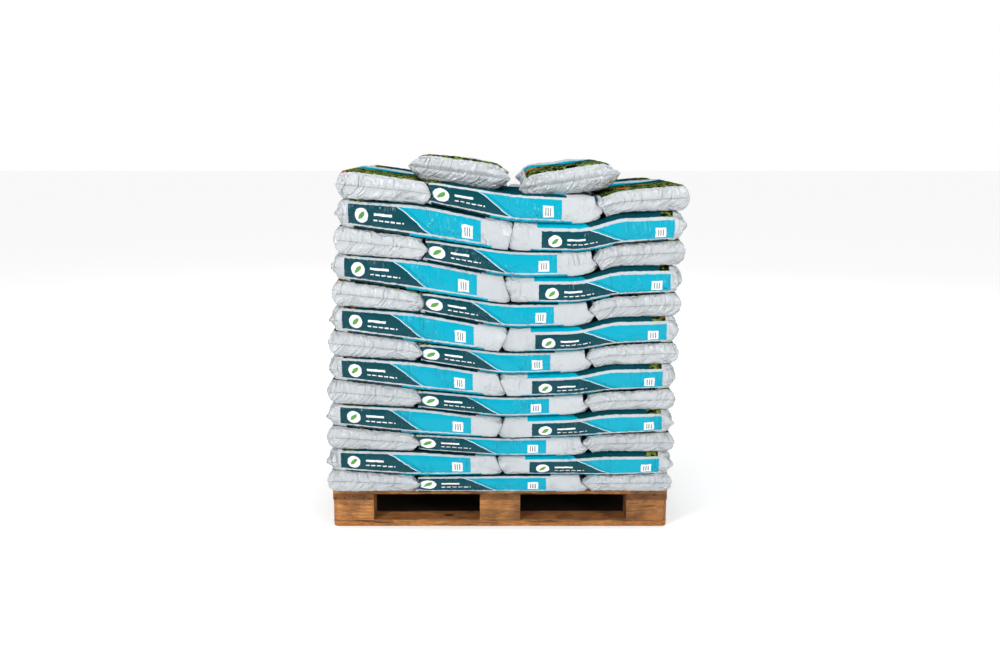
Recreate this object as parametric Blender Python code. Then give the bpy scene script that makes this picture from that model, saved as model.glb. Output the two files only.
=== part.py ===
"""Pallet of sacks: a timber pallet that carries 80 filled film sacks.

Thirteen layers of six sacks interlock, each layer turned half round against the next, and
two more sacks lie loose on top. The origin is the middle of the pallet's underside. +X is
to the right along the pallet's long side, +Y goes to the back and +Z is up. Metres.
"""
import math

import bmesh
import bpy
from mathutils import Matrix, Vector

COLLECTION_NAME = "pallet_of_sacks"

# Timber pallet
PALLET_LENGTH = 1.200
PALLET_WIDTH = 0.800
BOARD_THICKNESS = 0.022
WIDE_BOARD = 0.145
NARROW_BOARD = 0.100
BLOCK_HEIGHT = 0.078
CORNER_CHAMFER = 0.012
BOTTOM_CHAMFER = 0.006
JOINT_GAP = 0.0003

# Filled sack, laid flat. Its cross-section runs from the middle of its side over a shoulder
# to the edge of its flat top, and is the same below.
SACK_WIDTH = 0.302
SACK_THICKNESS = 0.085
TOP_INSET = 0.030
SHOULDER_INSET = 0.006
SHOULDER_HEIGHT_SHARE = 0.80
# The end gets lower over its round, by way of a middle ring, down to the sealed seam
END_ROUND = 0.038
END_MIDDLE = 0.011
END_MIDDLE_HEIGHT_SHARE = 0.74
SEAM_HEIGHT_SHARE = 0.38
# The film stands out as ears at the ends of each seam, and bulges a little between them
EAR_OUT = 0.012
SIDE_BULGE = 0.003
# How far a sack of a layer presses into its neighbours, and how much more the next one does
PRESS_IN = 0.003
PRESS_STEP = 0.0004
# A corner this close to a cut is taken to lie on it
ON_CUT = 0.000001

# Stack of layers: it is creased across at these places, in columns from the middle, and has
# there the mean shares of a sack's thickness that follow, from left to right. An even layer
# is thin where its sacks meet, and an odd layer is thick there.
LAYERS = 13
CREASE_COLUMNS = (-2, -1, 0, 0.93, 1.14, 2)
EVEN_LAYER_SHARE = (1.08, 0.80, 0.94, 0.90, 0.80, 0.93)
ODD_LAYER_SHARE = (0.965, 1.21, 0.965, 0.985, 1.15, 1.04)
# The lowest layer's share of the mean layer, which grows evenly to the top layer
LOWEST_LAYER_SHARE = (0.90, 0.86, 0.77, 0.82, 0.865, 0.86)
LEAN_AT_TOP = 0.048
NARROWING_AT_TOP = 0.030

# Sacks of an even layer: first column, first row and the axis that the sack lies along
LAYER_COLUMNS = 4
LAYER_ROWS = 3
EVEN_LAYER = (
    (0, 0, "y"),
    (1, 0, "x"),
    (3, 0, "y"),
    (1, 1, "x"),
    (0, 2, "x"),
    (2, 2, "x"),
)

# Two loose sacks, which lie along Y on the top layer, behind its front edge
LOOSE_LEFT_X = -0.145
LOOSE_RIGHT_X = 0.239
LOOSE_SETBACK = 0.093
LOOSE_WIDTH = 0.325
LOOSE_THICKNESS = 0.082

# A sack lies over two columns or two rows of the layer's grid
SACK_LENGTH = 2 * SACK_WIDTH
DECK_TOP = 3 * BOARD_THICKNESS + BLOCK_HEIGHT
CREASES = [column * SACK_WIDTH for column in CREASE_COLUMNS]


def remove_scene_objects():
    for scene_object in list(bpy.data.objects):
        bpy.data.objects.remove(scene_object, do_unlink=True)


def new_collection(name):
    collection = bpy.data.collections.new(name)
    bpy.context.scene.collection.children.link(collection)
    return collection


def new_material(name, colour, roughness):
    material = bpy.data.materials.new(name)
    material.use_nodes = True
    shader = material.node_tree.nodes["Principled BSDF"]
    shader.inputs["Base Color"].default_value = (*colour, 1.0)
    shader.inputs["Roughness"].default_value = roughness
    shader.inputs["Metallic"].default_value = 0.0
    return material


def add_object(name, mesh, material, collection):
    mesh.materials.append(material)
    new_object = bpy.data.objects.new(name, mesh)
    collection.objects.link(new_object)
    return new_object


def mesh_from(bm, name):
    mesh = bpy.data.meshes.new(name)
    bm.to_mesh(mesh)
    bm.free()
    return mesh


# Pallet

def timber(name, centre, size, material, collection, chamfers=()):
    """A sawn board or block; chamfers pairs a test on an edge's middle and run with a width."""
    bm = bmesh.new()
    bmesh.ops.create_cube(bm, size=1.0)
    bmesh.ops.scale(bm, vec=size, verts=bm.verts)
    for belongs, width in chamfers:
        edges = []
        for edge in bm.edges:
            start, end = (vert.co for vert in edge.verts)
            if belongs((start + end) / 2, end - start):
                edges.append(edge)
        bmesh.ops.bevel(bm, geom=edges, offset=width, segments=1, affect="EDGES")
    board = add_object(name, mesh_from(bm, name), material, collection)
    board.location = centre
    return board


def upper_long_edge(middle, run):
    return abs(run.x) > abs(run.y) + abs(run.z) and middle.z > 0


def outer_corner(side_x, side_y):
    """Picks the upright edges on the pallet's outer corners; side_y 0 takes none."""
    def belongs(middle, run):
        upright = abs(run.z) > abs(run.x) + abs(run.y)
        return upright and middle.x * side_x > 0 and middle.y * side_y > 0
    return belongs


def spread(total, widths):
    """Middles of boards laid across a total width with equal gaps between them."""
    gap = (total - sum(widths)) / (len(widths) - 1)
    start = -total / 2
    middles = []
    for width in widths:
        middles.append(start + width / 2)
        start += width + gap
    return middles


def build_deck(material, collection):
    widths = (WIDE_BOARD, NARROW_BOARD, WIDE_BOARD, NARROW_BOARD, WIDE_BOARD)
    z = DECK_TOP - BOARD_THICKNESS / 2
    for i, y in enumerate(spread(PALLET_WIDTH, widths)):
        size = (PALLET_LENGTH, widths[i], BOARD_THICKNESS)
        timber(f"top_deck_board_{i + 1}", (0, y, z), size, material, collection)


def build_cross_boards(material, collection):
    height = BOARD_THICKNESS - JOINT_GAP
    z = BOARD_THICKNESS + BLOCK_HEIGHT + height / 2
    middles = spread(PALLET_LENGTH, (WIDE_BOARD,) * 3)
    for side, x in zip(("left", "centre", "right"), middles):
        size = (WIDE_BOARD, PALLET_WIDTH, height)
        timber(f"cross_board_{side}", (x, 0, z), size, material, collection)


def build_blocks_and_bottom_boards(material, collection):
    rows = {"front": NARROW_BOARD, "centre": WIDE_BOARD, "back": NARROW_BOARD}
    board_height = BOARD_THICKNESS - JOINT_GAP
    block_height = BLOCK_HEIGHT - JOINT_GAP
    block_z = BOARD_THICKNESS + block_height / 2
    for (row, width), y in zip(rows.items(), spread(PALLET_WIDTH, tuple(rows.values()))):
        side_y = {"front": -1, "centre": 0, "back": 1}[row]
        corners = [(outer_corner(side, side_y), CORNER_CHAMFER) for side in (-1, 1)]
        timber(
            f"bottom_board_{row}", (0, y, board_height / 2), (PALLET_LENGTH, width, board_height),
            material, collection, [(upper_long_edge, BOTTOM_CHAMFER), *corners],
        )
        middles = spread(PALLET_LENGTH, (WIDE_BOARD,) * 3)
        for column, side, x in zip(("left", "centre", "right"), (-1, 0, 1), middles):
            timber(
                f"block_{row}_{column}", (x, y, block_z), (WIDE_BOARD, width, block_height),
                material, collection, [(outer_corner(side, side_y), CORNER_CHAMFER)],
            )


# Sacks

def layer_thickness(layer, crease):
    """Thickness of one layer at a crease; lower layers are squeezed thinner."""
    mean = ODD_LAYER_SHARE[crease] if layer % 2 else EVEN_LAYER_SHARE[crease]
    height_share = (layer + 0.5) / LAYERS
    lowest = LOWEST_LAYER_SHARE[crease]
    return SACK_THICKNESS * mean * (lowest + 2 * (1 - lowest) * height_share)


def layer_base(layer, x):
    """Height of a layer's underside at x, straight from crease to crease."""
    x = min(max(x, CREASES[0]), CREASES[-1])
    right = next(i for i in range(1, len(CREASES)) if x <= CREASES[i])
    share = (x - CREASES[right - 1]) / (CREASES[right] - CREASES[right - 1])
    left_height, right_height = (
        sum(layer_thickness(lower, crease) for lower in range(layer))
        for crease in (right - 1, right)
    )
    return DECK_TOP + JOINT_GAP / 2 + left_height + (right_height - left_height) * share


def settled(point, layer):
    """Moves a point of a flat sack to where it lies in the settled, leaning stack."""
    share = point.z / SACK_THICKNESS
    base = layer_base(layer, point.x)
    top = layer_base(layer + 1, point.x)
    z = base + share * (top - base) + (0.5 - share) * JOINT_GAP
    height_share = (layer + share) / LAYERS
    x = point.x * (1 - NARROWING_AT_TOP * height_share) + LEAN_AT_TOP * height_share ** 2
    return Vector((x, point.y, z))


def cut_at(bm, x):
    """Cuts a ring of edges where a mesh crosses x."""
    geometry = bm.verts[:] + bm.edges[:] + bm.faces[:]
    across = {"plane_co": (x, 0, 0), "plane_no": (1, 0, 0)}
    bmesh.ops.bisect_plane(bm, geom=geometry, dist=ON_CUT, **across)


def cross_section(width, height, bulge):
    """Outline of a sack across its length, as (y, z) from the right side over the top."""
    shoulder = (width / 2 - SHOULDER_INSET, height / 2 * SHOULDER_HEIGHT_SHARE)
    edge = (width / 2 - TOP_INSET, height / 2)
    upper_right = [(width / 2 + bulge, 0), shoulder, edge]
    upper = upper_right + [(-y, z) for y, z in reversed(upper_right)]
    return upper + [(y, -z) for y, z in reversed(upper[1:-1])]


def flat_sack(length, width, thickness, along):
    """A filled sack, lofted from ring to ring: rounded sides, and ends that narrow to a seam."""
    near = [
        (length / 2, SEAM_HEIGHT_SHARE, EAR_OUT),
        (length / 2 - END_MIDDLE, END_MIDDLE_HEIGHT_SHARE, EAR_OUT),
        (length / 2 - END_ROUND, 1.0, SIDE_BULGE),
    ]
    stations = [(-x, share, bulge) for x, share, bulge in near] + near[::-1]
    bm = bmesh.new()
    rings = []
    for x, share, bulge in stations:
        outline = cross_section(width, thickness * share, bulge)
        rings.append([bm.verts.new((x, y, z + thickness / 2)) for y, z in outline])
    for ring, following in zip(rings, rings[1:]):
        for i in range(len(ring)):
            bm.faces.new((ring[i - 1], ring[i], following[i], following[i - 1]))
    bm.faces.new(rings[0][::-1])
    bm.faces.new(rings[-1])
    if along == "y":
        turn = Matrix.Rotation(math.pi / 2, 3, "Z")
        bmesh.ops.rotate(bm, cent=(0, 0, 0), matrix=turn, verts=bm.verts)
    return bm


def flat_layer(collection):
    """Mesh of an even layer before it settles: six sacks pressed into one body.

    Each sack presses in a little further than the one before, so that no two edges meet."""
    sacks = []
    for i, (column, row, along) in enumerate(EVEN_LAYER):
        press = PRESS_IN + i * PRESS_STEP
        columns, rows = (2, 1) if along == "x" else (1, 2)
        bm = flat_sack(SACK_LENGTH + 2 * press, SACK_WIDTH + 2 * press, SACK_THICKNESS, along)
        sack = bpy.data.objects.new(f"flat_sack_{i + 1}", mesh_from(bm, f"flat_sack_{i + 1}"))
        collection.objects.link(sack)
        sack.location.x = (column + columns / 2 - LAYER_COLUMNS / 2) * SACK_WIDTH
        sack.location.y = (row + rows / 2 - LAYER_ROWS / 2) * SACK_WIDTH
        sacks.append(sack)
    body = sacks[0]
    for other in sacks[1:]:
        join = body.modifiers.new(f"press on {other.name}", "BOOLEAN")
        join.operation = "UNION"
        join.solver = "EXACT"
        join.object = other
    evaluated = body.evaluated_get(bpy.context.evaluated_depsgraph_get())
    mesh = bpy.data.meshes.new_from_object(evaluated)
    mesh.transform(body.matrix_world)
    for sack in sacks:
        bpy.data.objects.remove(sack, do_unlink=True)
    return mesh


def build_layer(layer, flat_mesh, material, collection):
    """A layer folded at the creases and settled; an odd one is turned half round."""
    bm = bmesh.new()
    bm.from_mesh(flat_mesh)
    if layer % 2:
        turn = Matrix.Rotation(math.pi, 3, "Z")
        bmesh.ops.rotate(bm, cent=(0, 0, 0), matrix=turn, verts=bm.verts)
    for crease in CREASES[1:-1]:
        cut_at(bm, crease)
    bmesh.ops.triangulate(bm, faces=bm.faces)
    for vert in bm.verts:
        vert.co = settled(vert.co, layer)
    name = f"sack_layer_{layer + 1:02d}"
    add_object(name, mesh_from(bm, name), material, collection)


def stack_top(x):
    """Height of the top layer's upper side at x in the leaning stack."""
    return layer_base(LAYERS, (x - LEAN_AT_TOP) / (1 - NARROWING_AT_TOP))


def build_loose_sacks(material, collection):
    """Sacks that lie tilted across the hollow top layer, on its highest points."""
    half_flat = LOOSE_WIDTH / 2 - TOP_INSET
    y = -LAYER_ROWS * SACK_WIDTH / 2 + LOOSE_SETBACK + SACK_LENGTH / 2
    creases = [crease * (1 - NARROWING_AT_TOP) + LEAN_AT_TOP for crease in CREASES]
    for side, x in (("left", LOOSE_LEFT_X), ("right", LOOSE_RIGHT_X)):
        left, right = x - half_flat, x + half_flat
        slope = (stack_top(right) - stack_top(left)) / (right - left)
        under = [left, right] + [crease for crease in creases if left < crease < right]
        base = max(stack_top(place) - slope * (place - x) for place in under)
        name = f"loose_sack_{side}"
        bm = flat_sack(SACK_LENGTH, LOOSE_WIDTH, LOOSE_THICKNESS, "y")
        sack = add_object(name, mesh_from(bm, name), material, collection)
        sack.location = (x, y, base + JOINT_GAP)
        sack.rotation_euler = (0, -math.atan(slope), 0)


def main():
    remove_scene_objects()
    parts = new_collection(COLLECTION_NAME)
    wood = new_material("pallet_wood", (0.42, 0.22, 0.09), 0.75)
    film = new_material("sack_film", (0.62, 0.66, 0.68), 0.35)
    build_deck(wood, parts)
    build_cross_boards(wood, parts)
    build_blocks_and_bottom_boards(wood, parts)
    flat_mesh = flat_layer(parts)
    for layer in range(LAYERS):
        build_layer(layer, flat_mesh, film, parts)
    build_loose_sacks(film, parts)


main()
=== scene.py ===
"""Looks of the pallet of sacks: wrinkled, printed film on the sacks and worn wood below them.

Each sack starts as a pillow of film whose slack is left to a cloth simulation, which buckles
it into folds over its soft filling. The sacks are then bent to the settled layers that the
CAD solids have. The print is a plain two-tone band with generic motifs. Metres, +Z up.
"""
import math

import bpy
import numpy as np
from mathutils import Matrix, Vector
from mathutils.bvhtree import BVHTree


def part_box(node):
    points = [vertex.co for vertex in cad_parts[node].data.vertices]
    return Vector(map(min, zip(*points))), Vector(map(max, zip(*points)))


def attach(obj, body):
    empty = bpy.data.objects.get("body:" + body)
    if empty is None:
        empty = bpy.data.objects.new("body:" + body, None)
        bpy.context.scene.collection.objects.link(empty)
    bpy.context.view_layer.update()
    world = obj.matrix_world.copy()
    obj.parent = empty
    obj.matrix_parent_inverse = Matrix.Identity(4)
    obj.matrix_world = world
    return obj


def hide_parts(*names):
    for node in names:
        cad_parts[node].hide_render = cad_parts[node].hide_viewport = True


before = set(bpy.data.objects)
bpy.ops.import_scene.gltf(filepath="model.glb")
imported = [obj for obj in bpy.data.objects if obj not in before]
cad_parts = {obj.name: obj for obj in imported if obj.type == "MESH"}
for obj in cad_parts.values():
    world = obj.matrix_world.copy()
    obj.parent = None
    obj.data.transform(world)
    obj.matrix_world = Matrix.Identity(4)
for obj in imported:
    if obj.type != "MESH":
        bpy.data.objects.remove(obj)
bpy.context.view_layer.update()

# Camera: in front of the pallet's long side, looking a little down
CAMERA_PLACE = (0.0, -4.0, 1.42)
CAMERA_DOWN = math.radians(11.17)
CAMERA_LENS = 37.9
SENSOR_WIDTH = 36.0

# Layers of sacks: each entry has the first column, the first row, the way from the sack's
# near end to its far end, and the kind of sack. An odd layer is turned half round.
COLUMNS = 4
ROWS = 3
EVEN_LAYER = (
    (0, 0, 90, "endwise"),
    (1, 0, 0, "sidewise"),
    (3, 0, 90, "endwise"),
    (1, 1, 0, "hidden"),
    (0, 2, 0, "sidewise"),
    (2, 2, 180, "sidewise"),
)
LAYER_NAMES = sorted(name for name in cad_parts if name.startswith("sack_layer_"))
LAYERS = len(LAYER_NAMES)
LOOSE_NAMES = ("loose_sack_left", "loose_sack_right")

# Seeds of the random draws
LAYER_SEED = 7
LOOSE_SEED = 5
TIMBER_SEED = 11
FOLD_SEED = 3

# Size of a flat sack, and the gap left between sacks that touch
SACK_WIDTH = 0.302
SACK_LENGTH = 2 * SACK_WIDTH
SACK_THICKNESS = 0.085
HALF = np.array([SACK_LENGTH, SACK_WIDTH, SACK_THICKNESS]) / 2
FRONT_EDGE = ROWS * SACK_WIDTH / 2
CONTACT_GAP = 0.0004

# Beyond this share of its half length a point of a sack's grid is on its end, and a film
# coordinate this near a panel is on it
ON_END = 0.999
ON_FACE = 1e-6

# The bottom layer's solid is as long as a layer is before it narrows. The faces of a layer
# are measured between its ends' rounded stretches and smoothed over a short way.
BOTTOM_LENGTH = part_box(LAYER_NAMES[0])[1].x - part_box(LAYER_NAMES[0])[0].x
END_SPAN = 0.060
SMOOTHING = 0.052

# Film: ears at the four corners of a sack and the crease at each seam
EAR_OUT = 0.019
BLUNT_EAR_OUT = 0.010
EAR_FORWARD = 0.006
EAR_SHARES = (1.0, 0.8, 1.3)
SEAM_DEPTH = 0.008
# Powers of the rounding seen from above, and across a sack at sharp and blunt corners of it
PLAN_POWER = 6.0
CORNER_POWER = 1.35
BLUNT_CORNER_POWER = 2.6

# Where sacks of a layer meet: how much longer and wider they are made there before they are
# pressed flat, how far the meeting faces lean, and the dents of ears in the sack beside them
PRESSED_OUT = (0.020, 0.010)
PRESSED_REACH = 0.08
LEAN = 0.007
END_LEAN = 0.022
TIP_LEAN = 0.022
EAR_DENT = 0.020
TIP_DENT = 0.010
TIP_RISE = 0.35

# A sack whose upper panel is drawn over its front side shows this much of it there, and the
# side panel is squeezed by this factor
ROLLED_OVER = 0.019
ROLLED_SQUEEZE = 1.2

# The top layer is a little lower at the back, and its sacks may rise a little over its surface
TOP_FALL = 0.016
HIGHEST_SHARE = 1.10

# Loose sacks: rounded top, and for each the turn it has beyond its solid's at its front and
# back, how much lower its back is, and how much lower it lies
LOOSE_CROWN = 0.004
LOOSE_POSES = {
    "loose_sack_left": (math.radians(0.5), 0.0, 0.022, 0.0),
    "loose_sack_right": (math.radians(7.0), math.radians(2.5), 0.0, 0.006),
}
LOOSE_WIDTH_SHARE = 0.95
LOOSE_HALF_WIDTH = 0.16
LOOSE_HALF_HEIGHT = 0.04

# Cloth simulation of the film: share of slack on the panels and at the seams
PANEL_SLACK = 0.015
SEAM_SLACK = 0.065
START_NOISE = 0.0006
HOLD = 0.07
FRAMES = 22
CLOTH_SETTINGS = {
    "quality": 6,
    "mass": 0.1,
    "tension_stiffness": 40,
    "compression_stiffness": 40,
    "shear_stiffness": 20,
    "bending_stiffness": 2,
    "tension_damping": 2,
    "compression_damping": 2,
    "shear_damping": 2,
    "bending_damping": 0.1,
    "air_damping": 2,
    "vertex_group_mass": "filling",
    "pin_stiffness": 1,
    "vertex_group_shrink": "taut",
    "shrink_min": -SEAM_SLACK,
    "shrink_max": -PANEL_SLACK,
}

# Kinds of sack: grid (along, across and up) and how far it crowds to the ends, rounding of
# ends and sides with the powers of both, whether the corners on one side are blunt, and how
# many folded variants there are
KINDS = {
    "endwise": {
        "grid": (41, 49, 15), "crowding": (0.5, 0.15, 0.0), "rounding": (0.038, 0.032),
        "end_power": 2.1, "side_power": 3.0, "blunt": 1, "variants": 3,
    },
    "sidewise": {
        "grid": (65, 29, 15), "crowding": (0.3, 0.4, 0.0), "rounding": (0.036, 0.030),
        "end_power": 2.1, "side_power": 3.0, "blunt": 0, "variants": 3,
    },
    "loose": {
        "grid": (45, 57, 17), "crowding": (0.5, 0.15, 0.0), "rounding": (0.034, 0.060),
        "end_power": 1.7, "side_power": 2.0, "blunt": 0, "variants": 2,
    },
    "hidden": {
        "grid": (17, 9, 5), "crowding": (0.5, 0.5, 0.0), "rounding": (0.038, 0.030),
        "end_power": 2.1, "side_power": 3.0, "blunt": 0, "variants": 1,
    },
}

# Print on a side panel, measured from the end of the sack and from the panel's middle, and
# how much further along it lies on a sack whose band starts at the layer's outer side. Then
# where the two tones meet, and the fields on the upper and lower panels.
BAND_START = 0.012
BAND_LENGTH = 0.452
BAND_LOW = -0.0315
BAND_HIGH = 0.0375
OUTER_SHIFT = 0.030
SLANT_EDGE = 0.225
PANEL_MARGIN = 0.008
TOP_FIELD = (0.017, 0.480)
BOTTOM_FIELD = (0.03, 0.50)
BOTTOM_PRINT_TOP = -0.0400

# Film: how near a panel counts as on it, the reflection of the side panels and what is added
# at the ends, and how far apart in their patterns two sacks may be
PANEL_EDGE = 0.0004
SIDE_SHINE = 0.20
END_SHINE = 0.45
PATTERN_APART = 37.0


def colour(red, green, blue):
    """Linear colour of an sRGB colour in 0 to 255."""
    linear = []
    for value in (red, green, blue):
        share = value / 255
        linear.append(share / 12.92 if share <= 0.04045 else ((share + 0.055) / 1.055) ** 2.4)
    return (*linear, 1.0)


WHITE_FILM = colour(194, 199, 202)
WHITE_FILM_SHADE = colour(182, 187, 191)
DARK_TEAL = colour(2, 66, 76)
CYAN = colour(2, 160, 186)
DEEP_CYAN = colour(4, 132, 156)
PRINT_WHITE = colour(235, 238, 240)
PRINT_GREY = colour(120, 128, 132)
# Grey of the thin line along each end's welded seam: painted shadow of its crease
SEAM_CREASE_SHADOW = colour(112, 118, 124)
MOTIF_GREEN = colour(92, 150, 70)
TOP_TEAL = colour(8, 68, 78)
BOTTOM_TEAL = colour(8, 58, 68)
BLOSSOM = colour(224, 96, 64)
LEAVES = (
    (0.0, colour(6, 10, 6)), (0.40, colour(16, 26, 10)), (0.52, colour(92, 118, 46)),
    (0.64, colour(140, 154, 84)), (0.72, colour(20, 32, 14)), (1.0, colour(6, 10, 6)),
)
LIGHT_WOOD = colour(226, 162, 98)
MIDDLE_WOOD = colour(192, 126, 68)
FIBRE_WOOD = colour(122, 72, 34)
WEATHERED_WOOD = colour(122, 78, 44)
END_WOOD = colour(96, 60, 36)
STAINED_WOOD = colour(70, 46, 30)
SCUFFED_WOOD = colour(42, 26, 16)
KNOT_HALO = colour(128, 78, 40)
KNOT_WOOD = colour(58, 32, 18)
FLOOR_PALE = (0.93, 0.93, 0.93, 1)
# Painted shadow: the dark colour of the floor under the pallet
FLOOR_PAINTED_SHADOW = (0.03, 0.025, 0.02, 1)
WHITE = (1, 1, 1, 1)


# Nodes of a material

class Shader:
    """A material's node tree, with short calls for the nodes that it uses."""

    def __init__(self, name):
        self.material = bpy.data.materials.new(name)
        self.material.use_nodes = True
        self.tree = self.material.node_tree
        self.surface = self.tree.nodes["Principled BSDF"]

    def put(self, socket, value):
        """Links a socket to another one's value, or sets it."""
        if isinstance(value, bpy.types.NodeSocket):
            self.tree.links.new(value, socket)
        else:
            socket.default_value = value

    def node(self, kind, inputs=(), **settings):
        made = self.tree.nodes.new(kind)
        for setting, value in settings.items():
            setattr(made, setting, value)
        for socket, value in dict(inputs).items():
            self.put(made.inputs[socket], value)
        return made

    def math(self, operation, *values, clamp=False):
        made = self.node("ShaderNodeMath", operation=operation, use_clamp=clamp)
        for socket, value in zip(made.inputs, values):
            self.put(socket, value)
        return made.outputs[0]

    def vector(self, operation, first, second):
        made = self.node("ShaderNodeVectorMath", operation=operation)
        self.put(made.inputs[0], first)
        self.put(made.inputs[1], second)
        return made.outputs[0]

    def over(self, value, edge, soft=0.0006):
        """0 below the edge and 1 above it."""
        inputs = {"Value": value, "From Min": edge - soft, "From Max": edge + soft}
        return self.node("ShaderNodeMapRange", inputs, clamp=True).outputs[0]

    def within(self, value, low, high, soft=0.0006):
        """1 between two edges and 0 beyond them."""
        above = self.over(value, low, soft)
        return self.math("MULTIPLY", above, self.flip(self.over(value, high, soft)))

    def both(self, first, *others):
        for other in others:
            first = self.math("MULTIPLY", first, other)
        return first

    def mix(self, factor, below, above):
        """Mixes two colours, whose sockets on the node are numbers 6 and 7."""
        made = self.node("ShaderNodeMix", data_type="RGBA")
        self.put(made.inputs[0], factor)
        self.put(made.inputs[6], below)
        self.put(made.inputs[7], above)
        return made.outputs[2]

    def mix_values(self, factor, below, above):
        """Mixes two plain values, whose sockets on the node are numbers 2 and 3."""
        made = self.node("ShaderNodeMix", data_type="FLOAT")
        self.put(made.inputs[0], factor)
        self.put(made.inputs[2], below)
        self.put(made.inputs[3], above)
        return made.outputs[0]

    def flip(self, value):
        return self.math("SUBTRACT", 1.0, value)

    def noise(self, place, scale, detail=3.0, roughness=0.5):
        inputs = {"Vector": place, "Scale": scale, "Detail": detail, "Roughness": roughness}
        return self.node("ShaderNodeTexNoise", inputs).outputs["Fac"]

    def attribute(self, name, output):
        return self.node("ShaderNodeAttribute", attribute_name=name).outputs[output]

    def ramp(self, factor, stops):
        made = self.node("ShaderNodeValToRGB", {"Fac": factor})
        elements = made.color_ramp.elements
        while len(elements) < len(stops):
            elements.new(0.5)
        for element, (position, shade) in zip(elements, stops):
            element.position = position
            element.color = shade
        return made.outputs["Color"]

    def bump(self, height, distance, below=None):
        inputs = {"Strength": 1.0, "Distance": distance, "Height": height}
        made = self.node("ShaderNodeBump", inputs)
        if below is not None:
            self.put(made.inputs["Normal"], below)
        return made.outputs["Normal"]


# Material of the film

def film_material():
    """Printed film, laid out by the place of each point on a flat sack (along, across, up)."""
    shader = Shader("printed_film")
    film = shader.attribute("film", "Vector")
    tone = shader.attribute("sack_tone", "Fac")
    leafy = shader.attribute("leafy", "Fac")
    apart = shader.math("MULTIPLY", tone, PATTERN_APART)
    apart = shader.node("ShaderNodeCombineXYZ", {"X": apart})
    own_place = shader.vector("ADD", film, apart.outputs[0])
    parts = shader.node("ShaderNodeSeparateXYZ", {"Vector": film}).outputs
    along, across, up = parts["X"], parts["Y"], parts["Z"]
    from_end = shader.math("ADD", along, float(HALF[0]))
    on_top = on_panel(shader, up, HALF[2])

    printed = white_film(shader, own_place, tone)
    printed = top_print(shader, printed, own_place, from_end, across, on_top, leafy)
    printed = bottom_print(shader, printed, from_end, up)
    printed = side_print(shader, printed, from_end, across, up, leafy)
    # Painted crease shadow along the welded seams
    printed = seam_crease_shadow(shader, printed, along, up)
    shader.put(shader.surface.inputs["Base Color"], printed)

    gloss_range = {"Value": shader.noise(own_place, 22.0, 2.0), "To Min": 0.12, "To Max": 0.26}
    roughness = shader.node("ShaderNodeMapRange", gloss_range).outputs[0]
    shader.put(shader.surface.inputs["Roughness"], roughness)
    near_end = shader.over(shader.math("ABSOLUTE", along), float(HALF[0]) - 0.006, 0.004)
    shine = shader.math("MULTIPLY_ADD", on_top, -SIDE_SHINE, SIDE_SHINE)
    shine = shader.math("MULTIPLY_ADD", near_end, END_SHINE, shine)
    shader.put(shader.surface.inputs["Specular IOR Level"], shine)
    shader.put(shader.surface.inputs["Normal"], film_wrinkles(shader, own_place, along, up))
    return shader.material


def on_panel(shader, value, half_size):
    """1 on the panel of a flat sack that lies half its size from its middle, 0 elsewhere."""
    return shader.over(value, float(half_size) - PANEL_EDGE, PANEL_EDGE / 2)


def seam_crease_shadow(shader, below, along, up):
    """Thin grey line of painted crease shadow at half height of each end, along the welded seam."""
    on_end = on_panel(shader, shader.math("ABSOLUTE", along), HALF[0])
    seam = shader.both(on_end, shader.within(up, -0.0016, 0.0012))
    return shader.mix(shader.math("MULTIPLY", seam, 0.45), below, SEAM_CREASE_SHADOW)


def white_film(shader, place, tone):
    """White film that is a little greyer in places and from one sack to the next."""
    cloudy = shader.math("MULTIPLY", shader.noise(place, 5.0, 3.0), 0.5)
    shade = shader.math("ADD", cloudy, shader.math("MULTIPLY", tone, 0.5))
    return shader.mix(shade, WHITE_FILM, WHITE_FILM_SHADE)


def leaf_pattern(shader, place):
    """Light and dark leaves with a few orange blossoms."""
    swirl = shader.math("MULTIPLY", shader.noise(place, 32.0, 4.0, 0.7), 3.0)
    leaf = shader.ramp(shader.math("FRACT", swirl), LEAVES)
    blossom = shader.over(shader.noise(place, 9.0, 1.0), 0.68, 0.02)
    return shader.mix(blossom, leaf, BLOSSOM)


def top_print(shader, below, place, from_end, across, on_top, leafy):
    """Leafy part at the near end of the upper panel, and two plain fields."""
    half_field = float(HALF[1]) - PANEL_MARGIN
    from_side = shader.math("SUBTRACT", half_field, shader.math("ABSOLUTE", across))
    field = shader.both(on_top, shader.over(from_side, 0), shader.within(from_end, *TOP_FIELD))
    slant = shader.math("ADD", from_end, shader.math("MULTIPLY", across, 0.7))
    plain = shader.mix(shader.over(slant, 0.40), TOP_TEAL, CYAN)
    ragged = shader.math("MULTIPLY", shader.noise(place, 30.0, 3.0), 0.05)
    side_distance = shader.math("ADD", from_side, ragged)
    end_distance = shader.math("ADD", from_end, ragged)
    leafy_length = shader.math("ADD", 0.085, shader.math("MULTIPLY", leafy, 0.26))
    past_leaves = shader.over(shader.math("SUBTRACT", end_distance, leafy_length), 0.0, 0.001)
    inside = shader.both(shader.over(side_distance, 0.012, 0.001), past_leaves)
    printed = shader.mix(inside, leaf_pattern(shader, place), plain)
    return shader.mix(field, below, printed)


def bottom_print(shader, below, from_end, up):
    """Two plain fields on the lower panel, which show as a thin strip between layers."""
    under = shader.flip(shader.over(up, BOTTOM_PRINT_TOP))
    field = shader.both(under, shader.within(from_end, *BOTTOM_FIELD))
    plain = shader.mix(shader.over(from_end, 0.22), BOTTOM_TEAL, CYAN)
    return shader.mix(field, below, plain)


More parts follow.
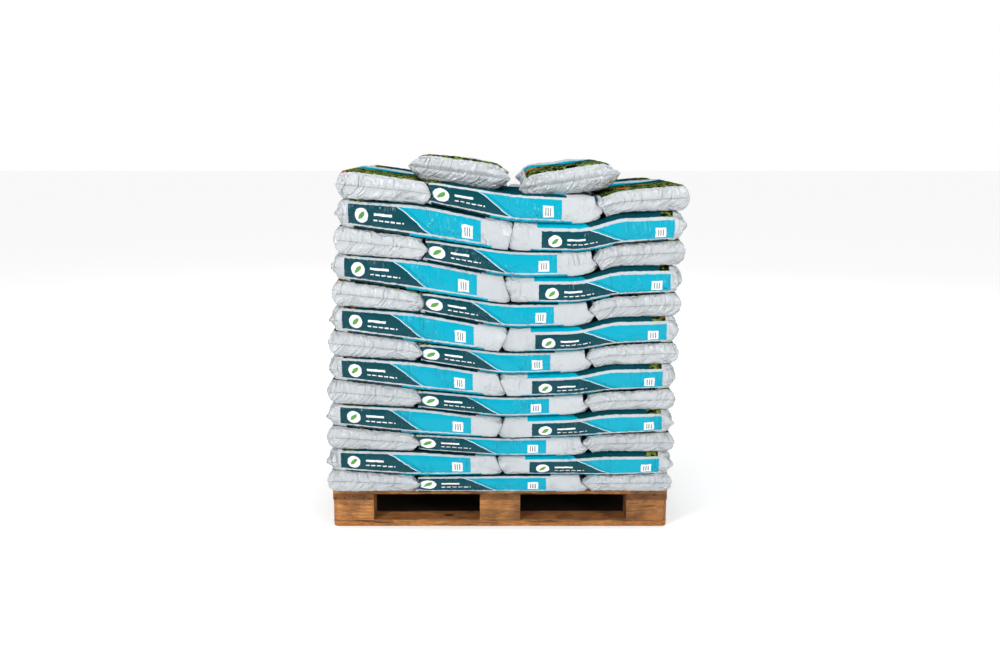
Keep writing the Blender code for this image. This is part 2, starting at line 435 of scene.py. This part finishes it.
def side_print(shader, below, from_end, across, up, leafy):
    """Two-tone band that reads the right way up on both side panels."""
    clear_of_corner = shader.math("SUBTRACT", from_end, shader.math("MULTIPLY", leafy, 0.055))
    beside = on_panel(shader, shader.math("ABSOLUTE", across), HALF[1])
    back_side = shader.over(across, 0, 0.0001)
    near_place = shader.math("SUBTRACT", from_end, BAND_START)
    far_place = shader.math("SUBTRACT", BAND_START + BAND_LENGTH, from_end)
    place = shader.mix_values(back_side, near_place, far_place)
    slant = shader.math("ADD", place, shader.math("MULTIPLY", up, 1.6))
    band = shader.mix(shader.over(slant, SLANT_EDGE), DARK_TEAL, CYAN)
    band = shader.mix(shader.within(slant, SLANT_EDGE, 0.2285), band, PRINT_WHITE)
    band = shader.mix(shader.within(slant, 0.241, 0.249), band, DEEP_CYAN)
    band = disc_motif(shader, band, place, up)
    band = plain_bars(shader, band, place, up)
    band = bar_patch(shader, band, place, up)
    shows = shader.both(
        beside, shader.within(place, 0.0, BAND_LENGTH), shader.within(up, BAND_LOW, BAND_HIGH),
        shader.over(clear_of_corner, 0.0),
    )
    return shader.mix(shows, below, band)


def round_spot(shader, place, up, centre, radius):
    """1 inside a circle on the band and 0 outside it."""
    offset_x = shader.math("SUBTRACT", place, centre[0])
    offset_z = shader.math("SUBTRACT", up, centre[1])
    square_x = shader.math("MULTIPLY", offset_x, offset_x)
    square_z = shader.math("MULTIPLY", offset_z, offset_z)
    distance = shader.math("SQRT", shader.math("ADD", square_x, square_z))
    return shader.flip(shader.over(distance, radius))


def disc_motif(shader, below, place, up):
    """White disc with one plain green leaf, where two larger circles overlap."""
    centre = (0.046, 0.0)
    bow = 0.011
    disc = round_spot(shader, place, up, centre, 0.023)
    halves = []
    for side in (-1, 1):
        middle = (centre[0] + side * bow, centre[1] - side * bow)
        halves.append(round_spot(shader, place, up, middle, 0.0225))
    below = shader.mix(disc, below, PRINT_WHITE)
    return shader.mix(shader.both(disc, *halves), below, MOTIF_GREEN)


def plain_bars(shader, below, place, up):
    """A thick bar over a row of short thin ones."""
    thick = shader.both(shader.within(place, 0.088, 0.150), shader.within(up, 0.003, 0.010))
    row = shader.both(shader.within(place, 0.088, 0.190), shader.within(up, -0.0125, -0.009))
    beat = shader.math("FRACT", shader.math("DIVIDE", place, 0.020))
    row = shader.both(row, shader.over(beat, 0.28, 0.02))
    return shader.mix(shader.math("MAXIMUM", thick, row), below, PRINT_WHITE)


def bar_patch(shader, below, place, up):
    """White patch with even upright bars."""
    patch = shader.both(shader.within(place, 0.388, 0.424), shader.within(up, -0.024, 0.012))
    bars = shader.both(shader.within(place, 0.394, 0.418), shader.within(up, -0.018, 0.006))
    beat = shader.math("FRACT", shader.math("DIVIDE", place, 0.008))
    bars = shader.both(bars, shader.over(beat, 0.5, 0.05))
    return shader.mix(bars, shader.mix(patch, below, PRINT_WHITE), PRINT_GREY)


def film_wrinkles(shader, place, along, up):
    """Bump: folds that run up from the seams and slantwise down, rarer ones elsewhere."""
    near_end = shader.over(shader.math("ABSOLUTE", along), float(HALF[0]) - 0.045, 0.055)
    warp = shader.node("ShaderNodeTexNoise", {"Vector": place, "Scale": 9.0, "Detail": 1.0})
    warp = shader.vector("MULTIPLY", warp.outputs["Color"], (0.03, 0.03, 0.03))
    bent = shader.vector("ADD", place, warp)
    slantwise = shader.math("MULTIPLY", shader.math("MINIMUM", up, 0.0), 0.8)
    slantwise = shader.node("ShaderNodeCombineXYZ", {"Y": slantwise}).outputs[0]
    streaky = shader.vector("MULTIPLY", shader.vector("ADD", bent, slantwise), (1.0, 1.0, 0.16))
    folds = shader.noise(streaky, 42.0, 2.0, 0.5)
    ridge = shader.math("ABSOLUTE", shader.math("SUBTRACT", folds, 0.5))
    ridge = shader.math("SUBTRACT", 1.0, shader.math("MULTIPLY", ridge, 6.0), clamp=True)
    rare = shader.over(shader.noise(place, 7.0, 2.0), 0.52, 0.08)
    amount = shader.math("MAXIMUM", near_end, rare)
    normal = shader.bump(shader.math("MULTIPLY", ridge, amount), 0.0050)
    return shader.bump(shader.noise(bent, 70.0, 1.0, 0.5), 0.0004, below=normal)


# Material of the wood

# How dark the wood of a timber seen in front is, from 0 to 1. The others draw theirs.
TIMBER_TONES = {
    "block_front_left": 0.05, "block_front_centre": 0.15, "block_front_right": 0.45,
    "bottom_board_front": 0.25, "top_deck_board_1": 0.25,
    "cross_board_left": 0.70, "cross_board_centre": 0.45, "cross_board_right": 0.75,
}


def along_grain(shader, place, grain_axis, share):
    """The place with its part along the grain drawn together, which stretches what it carries."""
    stretch = [1.0, 1.0, 1.0]
    stretch[grain_axis] = share
    return shader.vector("MULTIPLY", place, tuple(stretch))


def wood_material(name, grain_axis, tone, offset):
    """Worn wood of one timber: grain, knots, darker end grain, stains and scuffs."""
    shader = Shader(f"wood_{name}")
    place = shader.node("ShaderNodeTexCoord").outputs["Object"]
    place = shader.vector("ADD", place, offset)
    grain_place = along_grain(shader, place, grain_axis, 0.07)
    warp = shader.noise(grain_place, 9.0, 2.0)
    rings = shader.math("ADD", shader.noise(grain_place, 26.0, 2.0), warp)
    rings = shader.math("FRACT", shader.math("MULTIPLY", rings, 5.0))
    fibre = shader.noise(grain_place, 420.0, 4.0, 0.7)
    wood = shader.mix(rings, LIGHT_WOOD, MIDDLE_WOOD)
    wood = shader.mix(shader.over(fibre, 0.55, 0.16), wood, FIBRE_WOOD)
    wood = shader.mix(tone, wood, WEATHERED_WOOD)
    wood = add_knots(shader, wood, place, grain_axis)
    normal = shader.node("ShaderNodeNewGeometry").outputs["Normal"]
    facing = shader.node("ShaderNodeSeparateXYZ", {"Vector": normal}).outputs[grain_axis]
    end_grain = shader.over(shader.math("ABSOLUTE", facing), 0.7, 0.1)
    wood = shader.mix(shader.math("MULTIPLY", end_grain, 0.45), wood, END_WOOD)
    stain = shader.over(shader.noise(place, 7.0, 5.0, 0.65), 0.55, 0.10)
    wood = shader.mix(shader.math("MULTIPLY", stain, 0.65), wood, STAINED_WOOD)
    scuff = shader.over(shader.noise(grain_place, 60.0, 4.0, 0.7), 0.62, 0.04)
    wood = shader.mix(shader.math("MULTIPLY", scuff, 0.75), wood, SCUFFED_WOOD)
    shader.put(shader.surface.inputs["Base Color"], wood)
    rough_range = {"Value": fibre, "To Min": 0.68, "To Max": 0.92}
    roughness = shader.node("ShaderNodeMapRange", rough_range).outputs[0]
    shader.put(shader.surface.inputs["Roughness"], roughness)
    shader.surface.inputs["Specular IOR Level"].default_value = 0.3
    bump = shader.bump(fibre, 0.0012)
    bump = shader.bump(rings, 0.0008, below=bump)
    bump = shader.bump(shader.flip(scuff), 0.002, below=bump)
    shader.put(shader.surface.inputs["Normal"], bump)
    return shader.material


def add_knots(shader, wood, place, grain_axis):
    """Few dark knots, a little longer along the grain."""
    spread = along_grain(shader, place, grain_axis, 0.6)
    cells = shader.node("ShaderNodeTexVoronoi", {"Vector": spread, "Scale": 9.0, "Randomness": 1.0})
    distance = cells.outputs["Distance"]
    knot = shader.flip(shader.over(distance, 0.10, 0.03))
    halo = shader.flip(shader.over(distance, 0.17, 0.08))
    wood = shader.mix(shader.math("MULTIPLY", halo, 0.5), wood, KNOT_HALO)
    return shader.mix(knot, wood, KNOT_WOOD)


def dress_timbers():
    """Gives each timber its own wood and softens its sawn edges."""
    rng = np.random.default_rng(TIMBER_SEED)
    for name in sorted(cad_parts):
        if name in LAYER_NAMES or name in LOOSE_NAMES:
            continue
        grain_axis = 1 if name.startswith("cross_board") else 0
        offset = tuple(float(v) for v in rng.uniform(-5, 5, 3))
        tone = TIMBER_TONES.get(name, float(rng.uniform(0.3, 0.8)))
        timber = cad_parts[name]
        material = wood_material(name, grain_axis, tone, offset)
        for slot in timber.material_slots:
            slot.material = material
        worn = timber.modifiers.new("worn edges", "BEVEL")
        worn.width = 0.0022
        worn.segments = 2
        worn.limit_method = "ANGLE"


# Shape of one sack

def stations(count, crowding):
    """Places from -1 to 1, closer together near both ends where crowding is over 0."""
    even = np.linspace(-1, 1, count)
    return (1 - crowding) * even + crowding * np.sin(even * math.pi / 2)


def box_grid(counts, crowding):
    """Corners and faces of a box from -1 to 1 whose faces are grids."""
    lines = [stations(count, crowd) for count, crowd in zip(counts, crowding)]
    index, corners, faces = {}, [], []
    for axis in range(3):
        first, second = (axis + 1) % 3, (axis + 2) % 3
        for last in (0, counts[axis] - 1):
            for i in range(counts[first] - 1):
                for j in range(counts[second] - 1):
                    ring = [(i, j), (i + 1, j), (i + 1, j + 1), (i, j + 1)]
                    face = []
                    for p, q in ring if last else reversed(ring):
                        key = [0, 0, 0]
                        key[axis], key[first], key[second] = last, p, q
                        key = tuple(key)
                        if key not in index:
                            index[key] = len(corners)
                            corners.append([lines[n][key[n]] for n in range(3)])
                        face.append(index[key])
                    faces.append(face)
    return np.array(corners), np.array(faces)


def growing(values, start, span):
    """0 up to the start and 1 past the span that follows it, even between them."""
    return np.clip((values - start) / span, 0, 1)


def pillow(unit, facts, ear_share):
    """Rounded pillow with ears at its corners and a crease along the seam at each end."""
    rounding = np.array([*facts["rounding"], SACK_THICKNESS / 2])
    flat = unit * HALF
    inner = np.clip(flat, rounding - HALF, HALF - rounding)
    outward = np.abs(flat - inner) / rounding
    along, across, up = unit.T
    near_end = growing(np.abs(along), 0.84, 0.16)
    lateral = growing(np.abs(across), 0.72, 0.28)
    blunt = facts["blunt"] * (across > 0)
    corner_power = CORNER_POWER + (BLUNT_CORNER_POWER - CORNER_POWER) * blunt
    end_power = facts["end_power"] + (corner_power - facts["end_power"]) * lateral
    power = facts["side_power"] + (end_power - facts["side_power"]) * near_end
    plan = (outward[:, 0] ** PLAN_POWER + outward[:, 1] ** PLAN_POWER) ** (1 / PLAN_POWER)
    norm = (plan ** power + outward[:, 2] ** power) ** (1 / power)
    pulled_in = outward.max(1) / np.maximum(norm, 1e-9)
    shape = inner + (flat - inner) * pulled_in[:, None]
    near_side = growing(np.abs(across), 0.7, 0.3) ** 1.3
    sharp_ear = (1 - np.abs(up)) ** 1.25 * EAR_OUT * ear_share
    blunt_ear = (1 - up ** 2) * BLUNT_EAR_OUT
    ear = (sharp_ear + (blunt_ear - sharp_ear) * blunt) * near_side * near_end
    shape[:, 0] += np.sign(along) * ear / EAR_OUT * EAR_FORWARD
    shape[:, 1] += np.sign(across) * ear
    on_end = np.abs(along) > ON_END
    crease = np.exp(-(up / 0.10) ** 2) * on_end * (1 - growing(np.abs(across), 0.8, 0.2))
    shape[:, 0] -= np.sign(along) * crease * SEAM_DEPTH
    return shape


def fold_film(unit, faces, shape, seed):
    """Lets the slack film buckle over its filling, in a short cloth simulation."""
    rng = np.random.default_rng(seed)
    along, _, up = unit.T
    seam = (np.abs(along) > ON_END) & (np.abs(up) < 0.01)
    slack = growing(np.abs(along), 0.75, 0.25) ** 2 * (1 - 0.6 * np.abs(up))
    start = shape + rng.normal(0, START_NOISE, shape.shape) * ~seam[:, None]
    mesh = bpy.data.meshes.new("film")
    mesh.from_pydata(start.tolist(), [], faces.tolist())
    film = bpy.data.objects.new("film", mesh)
    bpy.context.scene.collection.objects.link(film)
    filling = film.vertex_groups.new(name="filling")
    filling.add(range(len(shape)), HOLD, "REPLACE")
    filling.add(np.nonzero(seam)[0].tolist(), 1, "REPLACE")
    taut = film.vertex_groups.new(name="taut")
    for i, share in enumerate(slack):
        taut.add([i], 1 - float(share), "REPLACE")
    cloth = film.modifiers.new("cloth", "CLOTH")
    for setting, value in CLOTH_SETTINGS.items():
        setattr(cloth.settings, setting, value)
    cloth.settings.effector_weights.gravity = 0
    cloth.collision_settings.use_collision = False
    for number in range(1, FRAMES + 1):
        bpy.context.scene.frame_set(number)
    folded = film.evaluated_get(bpy.context.evaluated_depsgraph_get()).to_mesh()
    places = np.empty(len(shape) * 3)
    folded.vertices.foreach_get("co", places)
    bpy.context.scene.frame_set(1)
    bpy.data.objects.remove(film, do_unlink=True)
    bpy.data.meshes.remove(mesh)
    return places.reshape(-1, 3)


def make_variants():
    """The folded shapes of each kind of sack."""
    made = {}
    seed = FOLD_SEED
    for kind, facts in KINDS.items():
        unit, faces = box_grid(facts["grid"], facts["crowding"])
        shapes = []
        for number in range(facts["variants"]):
            shape = pillow(unit, facts, EAR_SHARES[number])
            seed += 1
            if kind != "hidden":
                shape = fold_film(unit, faces, shape, seed)
            shapes.append(shape)
        made[kind] = {"unit": unit, "faces": faces, "shapes": shapes}
    return made


# Where the layers lie, measured on the CAD solids

def tree_of(node_name):
    depsgraph = bpy.context.evaluated_depsgraph_get()
    return BVHTree.FromObject(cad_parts[node_name], depsgraph)


def outer_height(tree, x, ys, way):
    """Highest point at x where way is -1, or the lowest where it is 1, over several ys."""
    heights = []
    for y in ys:
        hit = tree.ray_cast(Vector((x, y, -10.0 * way)), Vector((0, 0, way)))[0]
        if hit is not None:
            heights.append(hit.z)
    return max(heights) if way < 0 else min(heights)


class Layer:
    """Measures of a layer's solid: its middle, how narrow it is, and its two faces."""

    def __init__(self, name, places):
        low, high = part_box(name)
        self.middle = (low.x + high.x) / 2
        self.narrowing = (high.x - low.x) / BOTTOM_LENGTH
        ys = np.linspace(low.y + 0.05, high.y - 0.05, 13)
        tree = tree_of(name)
        self.under = np.array([outer_height(tree, x, ys, 1) for x in places])
        self.top = np.array([outer_height(tree, x, ys, -1) for x in places])


class Surface:
    """Smooth height between two layers as a function of x, drawn out straight at its ends."""

    def __init__(self, places, heights):
        step = 0.2
        before = heights[0] - (heights[2] - heights[0]) / (places[2] - places[0]) * step
        after = heights[-1] + (heights[-1] - heights[-3]) / (places[-1] - places[-3]) * step
        self.xs = np.concatenate([[places[0] - step], places, [places[-1] + step]])
        self.zs = np.concatenate([[before], heights, [after]])

    def __call__(self, x):
        steps = np.linspace(-SMOOTHING, SMOOTHING, 7)
        return sum(np.interp(x + step, self.xs, self.zs) for step in steps) / len(steps)


def measure_layers():
    """The layers, and the surfaces under, between and over them."""
    top_low, top_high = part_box(LAYER_NAMES[-1])
    bottom_low, bottom_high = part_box(LAYER_NAMES[0])
    low = max(top_low.x, bottom_low.x) + END_SPAN
    high = min(top_high.x, bottom_high.x) - END_SPAN
    places = np.linspace(low, high, 81)
    layers = [Layer(name, places) for name in LAYER_NAMES]
    heights = [layers[0].under]
    for lower, upper in zip(layers, layers[1:]):
        heights.append((lower.top + upper.under) / 2)
    heights.append(layers[-1].top)
    return layers, [Surface(places, found) for found in heights]


# Sacks in their places

class Sack:
    """One sack's mesh: its places, faces and film coordinates, its tone and how leafy it is.

    Where it has blunt corners on one side, that is the side of it that blunt_side says.
    """

    def __init__(self, variant, rng, blunt_side, leafy):
        pick = int(rng.integers(len(variant["shapes"])))
        flips = np.array([*rng.choice((-1.0, 1.0), 2), 1.0])
        flips[1] = blunt_side or flips[1]
        self.places = variant["shapes"][pick] * flips
        self.film = variant["unit"] * HALF * flips
        self.faces = variant["faces"] if flips.prod() > 0 else variant["faces"][:, ::-1]
        self.tone = float(rng.random())
        self.leafy = leafy


def rolled_over(film, side):
    """Film coordinates of a sack whose upper panel is drawn over one of its side panels."""
    beside = film[:, 1] * side > HALF[1] - ON_FACE
    below = HALF[2] - ROLLED_OVER - film[:, 2]
    on_top = film[:, 2] > HALF[2] - ON_FACE
    film[:, 1] -= side * np.where(on_top, ROLLED_OVER, beside * np.maximum(-below, 0))
    squeezed = HALF[2] - np.maximum(below, 0) * ROLLED_SQUEEZE
    film[:, 2] = np.where(beside, squeezed, film[:, 2])


def turned(places, degrees):
    """Places turned about the upright axis by quarter turns."""
    angle = math.radians(degrees)
    cos, sin = round(math.cos(angle)), round(math.sin(angle))
    x, y, z = places.T
    return np.stack([x * cos - y * sin, x * sin + y * cos, z], 1)


class Contacts:
    """The faces where the sacks of an even layer meet, which lean and are dented by ears."""

    def __init__(self, rng):
        self.lean_x = rng.uniform(-LEAN, LEAN, COLUMNS + 1)
        self.lean_x[COLUMNS // 2] = rng.choice((-1, 1)) * rng.uniform(0.5, 1) * END_LEAN
        self.lean_x[COLUMNS - 1] = -rng.uniform(0.8, 1.1) * TIP_LEAN
        self.lean_y = rng.uniform(-LEAN, LEAN, ROWS + 1)

    def face(self, axis, line, places):
        """Where the meeting face at a column line (axis 0) or row line (axis 1) is."""
        up = np.clip(places[:, 2] / SACK_THICKNESS * 2, -1, 1)
        if axis == 1:
            return (line - ROWS / 2) * SACK_WIDTH + self.lean_y[line] * up
        at_front = np.clip((0.07 - FRONT_EDGE - places[:, 1]) / 0.04, 0, 1)
        dent = 0.0
        if line == 1:
            dent = EAR_DENT * at_front * np.clip(1.1 - np.abs(up), 0, 1)
        if line == COLUMNS - 1:
            dent = -TIP_DENT * at_front * np.clip(1 - np.abs(up - TIP_RISE) / 0.6, 0, 1)
        return (line - COLUMNS / 2) * SACK_WIDTH + self.lean_x[line] * up + dent


def lengthened(places, axis, side, amount):
    """Draws a sack out along an axis, near one side of it."""
    half = np.abs(places[:, axis]).max()
    depth = np.clip((side * places[:, axis] - half) / PRESSED_REACH + 1, 0, 1)
    places[:, axis] += side * amount * depth


def lay_in_cell(places, entry, contacts, rng):
    """Puts a sack in its cell of an even layer and presses it against those beside it.

    Also says which of its sides are free, by axis and side.
    """
    column, row, heading, _ = entry
    along_x = heading % 180 == 0
    span = (2, 1) if along_x else (1, 2)
    places = turned(places, heading)
    free = {}
    for axis, first, count in ((0, column, COLUMNS), (1, row, ROWS)):
        amount = PRESSED_OUT[0] if (axis == 0) == along_x else PRESSED_OUT[1]
        for side, line in ((-1, first), (1, first + span[axis])):
            free[axis, side] = line in (0, count)
            out = rng.uniform(-0.006, 0.004) if free[axis, side] else amount
            lengthened(places, axis, side, out)
    places[:, 0] += (column + span[0] / 2 - COLUMNS / 2) * SACK_WIDTH
    places[:, 1] += (row + span[1] / 2 - ROWS / 2) * SACK_WIDTH
    for axis, first in ((0, column), (1, row)):
        if not free[axis, -1]:
            face = contacts.face(axis, first, places) + CONTACT_GAP
            places[:, axis] = np.maximum(places[:, axis], face)
        if not free[axis, 1]:
            face = contacts.face(axis, first + span[axis], places) - CONTACT_GAP
            places[:, axis] = np.minimum(places[:, axis], face)
    return places, free


def lay_sack(sack, entry, number, layer, lower, upper, contacts, rng):
    """Puts a sack in its place in a layer and bends it to the surfaces under and over it."""
    column, row, heading, _ = entry
    places, free = lay_in_cell(sack.places, entry, contacts, rng)
    if number % 2:
        places[:, :2] *= -1
    on_top = number == LAYERS - 1
    share = np.clip(places[:, 2] / SACK_THICKNESS + 0.5, 0.0, HIGHEST_SHARE if on_top else 1.0)
    x = layer.middle + places[:, 0] * layer.narrowing
    base, top = lower(x) + CONTACT_GAP, upper(x) - CONTACT_GAP
    if on_top:
        top -= TOP_FALL * np.clip(places[:, 1] / FRONT_EDGE + 1, 0, 2) / 2
    sack.places = np.stack([x, places[:, 1], base + share * (top - base)], 1)
    if heading % 180 == 0:
        starts_outside = free[0, -1 if heading == 0 else 1]
        sack.film[:, 0] -= OUTER_SHIFT * starts_outside + rng.uniform(-0.004, 0.004)
        if number % 2 and (column, row) == (0, ROWS - 1):
            rolled_over(sack.film, 1)


def film_object(name, sacks, material):
    """Joins sacks into one object that keeps their film coordinates, tones and leafiness."""
    places, faces, film, tones, leafiness = [], [], [], [], []
    for sack in sacks:
        faces.append(sack.faces + sum(len(p) for p in places))
        places.append(sack.places)
        film.append(sack.film)
        tones.append(np.full(len(sack.places), sack.tone))
        leafiness.append(np.full(len(sack.places), sack.leafy))
    mesh = bpy.data.meshes.new(name)
    all_faces = [face for group in faces for face in group.tolist()]
    mesh.from_pydata(np.concatenate(places).tolist(), [], all_faces)
    attribute = mesh.attributes.new("film", "FLOAT_VECTOR", "POINT")
    attribute.data.foreach_set("vector", np.concatenate(film).astype(np.float32).ravel())
    for label, values in (("sack_tone", tones), ("leafy", leafiness)):
        attribute = mesh.attributes.new(label, "FLOAT", "POINT")
        attribute.data.foreach_set("value", np.concatenate(values).astype(np.float32))
    mesh.materials.append(material)
    mesh.shade_smooth()
    piece = bpy.data.objects.new(name, mesh)
    bpy.context.scene.collection.objects.link(piece)
    return piece


def declare(piece, node_name):
    """Attaches a film piece to the root body and hides the CAD solid of the node."""
    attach(piece, "root")
    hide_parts(node_name)


def make_sack(variants, entry, on_top, rng):
    """The sack of one entry. At the left of the top layer its sharp corners are outside."""
    column, _, _, kind = entry
    endwise = kind == "endwise"
    blunt_side = (1 if column == 0 else -1) * endwise
    if on_top and column == 0:
        blunt_side = -blunt_side
    if on_top and kind == "hidden":
        kind = "sidewise"
    return Sack(variants[kind], rng, blunt_side, float(endwise))


def build_layers(variants, material):
    """One piece of film for each layer. Gives back the top one."""
    layers, surfaces = measure_layers()
    rng = np.random.default_rng(LAYER_SEED)
    pieces = []
    for number, (name, layer) in enumerate(zip(LAYER_NAMES, layers)):
        contacts = Contacts(rng)
        under, over = surfaces[number], surfaces[number + 1]
        sacks = []
        for entry in EVEN_LAYER:
            sack = make_sack(variants, entry, number == LAYERS - 1, rng)
            lay_sack(sack, entry, number, layer, under, over, contacts, rng)
            sacks.append(sack)
        pieces.append(film_object(name.replace("sack_layer", "film_sacks"), sacks, material))
        declare(pieces[-1], name)
    return pieces[-1]


def tilt_of(name, middle):
    """How far the top of a loose sack's solid rises to the right, as an angle."""
    tree = tree_of(name)
    ys = np.linspace(middle.y - 0.1, middle.y + 0.1, 3)
    reach = 0.08
    right = outer_height(tree, middle.x + reach, ys, -1)
    left = outer_height(tree, middle.x - reach, ys, -1)
    return math.atan((right - left) / (2 * reach))


def settled(places, name, tilt):
    """Loose sack around its middle, with its rounded top, its turn and its lower back."""
    front_turn, back_turn, back_drop, lower_by = LOOSE_POSES[name]
    x, y, z = places.T
    crown = LOOSE_CROWN * (1 - np.clip(np.abs(x) / LOOSE_HALF_WIDTH, 0, 1) ** 2)
    z = z + crown * np.clip(z / LOOSE_HALF_HEIGHT, -0.2, 1)
    back_share = np.clip(y / SACK_LENGTH + 0.5, 0, 1)
    z -= back_drop * back_share * np.clip(z / LOOSE_HALF_HEIGHT, 0, 1)
    turn = tilt + front_turn + (back_turn - front_turn) * back_share
    cos, sin = np.cos(turn), np.sin(turn)
    return np.stack([x * cos - z * sin, y, x * sin + z * cos - lower_by], 1)


def build_loose_sacks(variants, material, top_layer):
    """Two loose sacks, each tilted as its solid is and pressed onto the layer under it."""
    depsgraph = bpy.context.evaluated_depsgraph_get()
    under = BVHTree.FromObject(top_layer, depsgraph)
    rng = np.random.default_rng(LOOSE_SEED)
    for name in LOOSE_NAMES:
        low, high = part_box(name)
        middle = (low + high) / 2
        tilt = tilt_of(name, middle)
        sack = Sack(variants["loose"], rng, 0, 1.0)
        places = turned(sack.places, 90)
        places[:, 0] *= LOOSE_WIDTH_SHARE * (high.x - low.x) / math.cos(tilt) / SACK_WIDTH
        places[:, 1] *= (high.y - low.y) / SACK_LENGTH
        places = settled(places, name, tilt) + np.array(middle)
        for place in places:
            hit = under.ray_cast(Vector((place[0], place[1], 10.0)), Vector((0, 0, -1)))[0]
            if hit is not None:
                place[2] = max(place[2], hit.z + CONTACT_GAP)
        sack.places = places
        piece = film_object(name.replace("loose_sack", "film_loose_sack"), [sack], material)
        declare(piece, name)


# Floor, lights and camera

# Floor: its size and level, the half sizes of the shadow painted under the pallet, its glow,
# and what is added to the glow far behind
FLOOR_SIZE = 60
FLOOR_LEVEL = -0.001
PAINTED_SHADOW_HALF = (0.57, 0.37)
FLOOR_GLOW = 0.32
FAR_GLOW = 0.22

# Lights: name, place, the point that each looks at, its two sizes, and its power in watts
LIGHTS = (
    ("rear", (0.8, 4.4, 3.6), (0, 0, 0.6), (3.0, 1.0), 60),
    ("key", (-2.2, -3.2, 2.4), (0, 0, 0.6), (0.5, 1.6), 76),
    ("fill", (2.6, -3.0, 1.6), (0, 0, 0.5), (0.5, 1.6), 46),
    ("overhead", (0, -0.9, 3.4), (0, 0, 0.6), (2.4, 1.0), 34),
)

# Surround: part of the direction, where its slope starts and ends, and the levels there
SURROUND_SLOPES = (("Z", 0.15, 0.50, 1.0, 0.45), ("Y", -0.7, 0.1, 0.45, 1.0))


def build_floor():
    """Pale floor with a faint glow that grows to the back, and a painted shadow under the pallet.
    """
    bpy.ops.mesh.primitive_plane_add(size=FLOOR_SIZE, location=(0, 0, FLOOR_LEVEL))
    floor = bpy.context.object
    floor.name = "floor"
    shader = Shader("pale_floor")
    place = shader.node("ShaderNodeTexCoord").outputs["Object"]
    parts = shader.node("ShaderNodeSeparateXYZ", {"Vector": place}).outputs
    half_x, half_y = PAINTED_SHADOW_HALF
    # Painted shadow: under the pallet the floor is made dark and gives no glow
    beneath = shader.within(parts["X"], -half_x, half_x, 0.03)
    painted_shadow = shader.both(beneath, shader.within(parts["Y"], -half_y, half_y, 0.03))
    far = shader.over(parts["Y"], 2.6, 2.0)
    glow = shader.math("ADD", FLOOR_GLOW, shader.math("MULTIPLY", far, FAR_GLOW))
    glow = shader.math("MULTIPLY", glow, shader.flip(painted_shadow))
    floor_colour = shader.mix(painted_shadow, FLOOR_PALE, FLOOR_PAINTED_SHADOW)
    shader.put(shader.surface.inputs["Base Color"], floor_colour)
    shader.put(shader.surface.inputs["Emission Strength"], glow)
    shader.surface.inputs["Emission Color"].default_value = WHITE
    shader.surface.inputs["Roughness"].default_value = 0.9
    shader.surface.inputs["Specular IOR Level"].default_value = 0.1
    floor.data.materials.append(shader.material)


def add_light(name, place, target, size, power):
    lamp = bpy.data.lights.new(name, "AREA")
    lamp.shape = "RECTANGLE"
    lamp.size, lamp.size_y = size
    lamp.energy = power
    holder = bpy.data.objects.new(name, lamp)
    holder.location = place
    holder.rotation_euler = (Vector(target) - Vector(place)).to_track_quat("-Z", "Y").to_euler()
    bpy.context.scene.collection.objects.link(holder)


def build_lights():
    """Studio light: a strip to each side in front, one overhead, one behind, pale surround."""
    for light in LIGHTS:
        add_light(*light)
    build_surround()
    bpy.context.scene.view_settings.view_transform = "Standard"


def build_surround():
    """Surround that is paler near the horizon than overhead, and behind than in front."""
    world = bpy.data.worlds.new("studio")
    bpy.context.scene.world = world
    world.use_nodes = True
    tree = world.node_tree
    background = tree.nodes["Background"]
    background.inputs["Color"].default_value = WHITE
    direction = tree.nodes.new("ShaderNodeTexCoord").outputs["Generated"]
    parts = tree.nodes.new("ShaderNodeSeparateXYZ")
    tree.links.new(direction, parts.inputs[0])
    level = tree.nodes.new("ShaderNodeMath")
    level.operation = "MULTIPLY"
    for socket, (part, start, end, first, last) in zip(level.inputs, SURROUND_SLOPES):
        slope = tree.nodes.new("ShaderNodeMapRange")
        tree.links.new(parts.outputs[part], slope.inputs["Value"])
        slope.inputs["From Min"].default_value = start
        slope.inputs["From Max"].default_value = end
        slope.inputs["To Min"].default_value = first
        slope.inputs["To Max"].default_value = last
        tree.links.new(slope.outputs[0], socket)
    tree.links.new(level.outputs[0], background.inputs["Strength"])


def build_camera():
    lens = bpy.data.cameras.new("camera")
    lens.sensor_width = SENSOR_WIDTH
    lens.lens = CAMERA_LENS
    camera = bpy.data.objects.new("camera", lens)
    camera.location = CAMERA_PLACE
    camera.rotation_euler = (math.pi / 2 - CAMERA_DOWN, 0, 0)
    bpy.context.scene.collection.objects.link(camera)
    bpy.context.scene.camera = camera


def main():
    build_camera()
    build_floor()
    build_lights()
    dress_timbers()
    film = film_material()
    variants = make_variants()
    top_layer = build_layers(variants, film)
    build_loose_sacks(variants, film, top_layer)


main()
